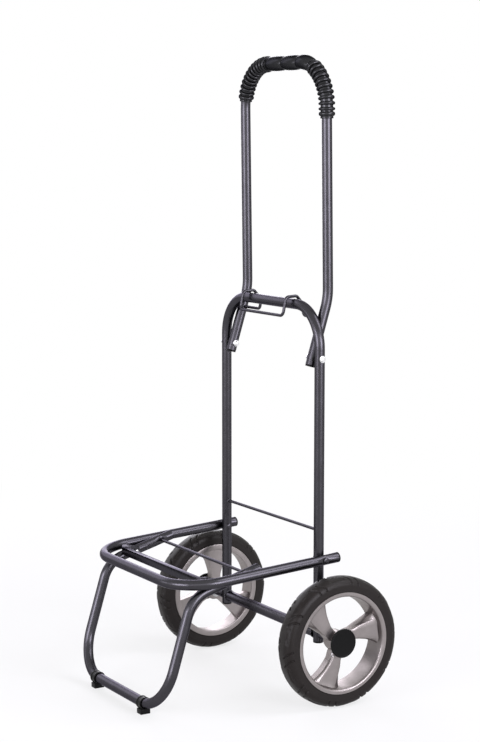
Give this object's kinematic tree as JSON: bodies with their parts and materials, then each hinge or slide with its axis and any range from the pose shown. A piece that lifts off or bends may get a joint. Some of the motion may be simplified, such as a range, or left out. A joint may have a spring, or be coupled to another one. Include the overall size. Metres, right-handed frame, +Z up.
{
  "type": "folding transport trolley",
  "caption": "Folding hand trolley: bent-tube rear frame on two wheels, fold-down handle with ribbed grip and wire lock clip, tilt-up platform hoop with its own stand.",
  "frame": {"origin": "on the floor, under the middle of the whole trolley as it stands open", "axes": "+X across the trolley, -Y towards the platform's front, +Z up"},
  "size_m": [0.435, 0.3968, 1.0228],
  "materials": {
    "frame_paint": "anthracite enamel with a fine metallic sheen",
    "zinc_steel": "zinc-plated, dull",
    "chrome": "bright",
    "black_plastic": "moulded, satin",
    "grip_vinyl": "soft vinyl, glossy",
    "tyre_rubber": "moulded, matt",
    "rim_silver": "silver lacquer on moulded plastic",
    "nylon": "natural nylon"
  },
  "bodies": {
    "rear_frame": {"rear_frame_tube": "frame_paint", "back_cross_rod": "frame_paint", "axle_tube": "frame_paint", "axle_rod": "zinc_steel", "axle_sleeve_left": "frame_paint", "axle_sleeve_right": "frame_paint", "wheel_washer_left": "zinc_steel", "wheel_washer_right": "zinc_steel", "leg_plug_left": "black_plastic", "leg_plug_right": "black_plastic", "handle_bolt_left": "chrome", "handle_bolt_right": "chrome", "handle_nut_left": "chrome", "handle_nut_right": "chrome", "handle_spacer_left": "black_plastic", "handle_spacer_right": "black_plastic", "platform_rivet_left": "frame_paint", "platform_rivet_right": "frame_paint"},
    "handle": {"handle_tube": "frame_paint", "handle_plug_left": "black_plastic", "handle_plug_right": "black_plastic", "grip_centre": "grip_vinyl", "grip_sleeve_left": "grip_vinyl", "grip_sleeve_right": "grip_vinyl"},
    "clip": {"lock_clip": "frame_paint"},
    "platform": {"platform_tube": "frame_paint", "platform_plug_left": "black_plastic", "platform_plug_right": "black_plastic", "stand_pivot_rod": "frame_paint"},
    "stand": {"stand_tube": "frame_paint", "foot_clip_left": "black_plastic", "foot_clip_right": "black_plastic", "stand_strip": "frame_paint", "strip_rivet_left": "zinc_steel", "strip_rivet_right": "zinc_steel"},
    "wheel_left": {"tyre_left": "tyre_rubber", "wheel_rim_left": "rim_silver", "wheel_bush_left": "nylon", "hub_cap_left": "black_plastic", "wheel_clip_left": "zinc_steel"},
    "wheel_right": {"tyre_right": "tyre_rubber", "wheel_rim_right": "rim_silver", "wheel_bush_right": "nylon", "hub_cap_right": "black_plastic", "wheel_clip_right": "zinc_steel"}
  },
  "joints": [
    {"name": "handle_fold", "type": "hinge", "parent": "rear_frame", "child": "handle", "pos_m": [0, 0.0943, 0.5456], "axis": [-1, 0, 0], "range_deg": [0, 170], "deforming": ["lock_clip"]},
    {"name": "clip_swing", "type": "hinge", "parent": "handle", "child": "clip", "pos_m": [0, 0.11333, 0.6071], "axis": [-1, 0, 0], "range_deg": [0, 110]},
    {"name": "platform_fold", "type": "hinge", "parent": "rear_frame", "child": "platform", "pos_m": [0, 0.0943, 0.2262], "axis": [-1, 0, 0], "range_deg": [0, 79]},
    {"name": "stand_fold", "type": "hinge", "parent": "platform", "child": "stand", "pos_m": [0, -0.0382, 0.21734], "axis": [1, 0, 0], "range_deg": [0, 114.6]},
    {"name": "wheel_left_spin", "type": "hinge", "parent": "rear_frame", "child": "wheel_left", "pos_m": [-0.1993, 0.0943, 0.104], "axis": [1, 0, 0], "continuous": true},
    {"name": "wheel_right_spin", "type": "hinge", "parent": "rear_frame", "child": "wheel_right", "pos_m": [0.1993, 0.0943, 0.104], "axis": [1, 0, 0], "continuous": true}
  ],
  "couplings": [
    {"joint": "stand_fold", "follows": "platform_fold", "ratio": 1.449}
  ]
}
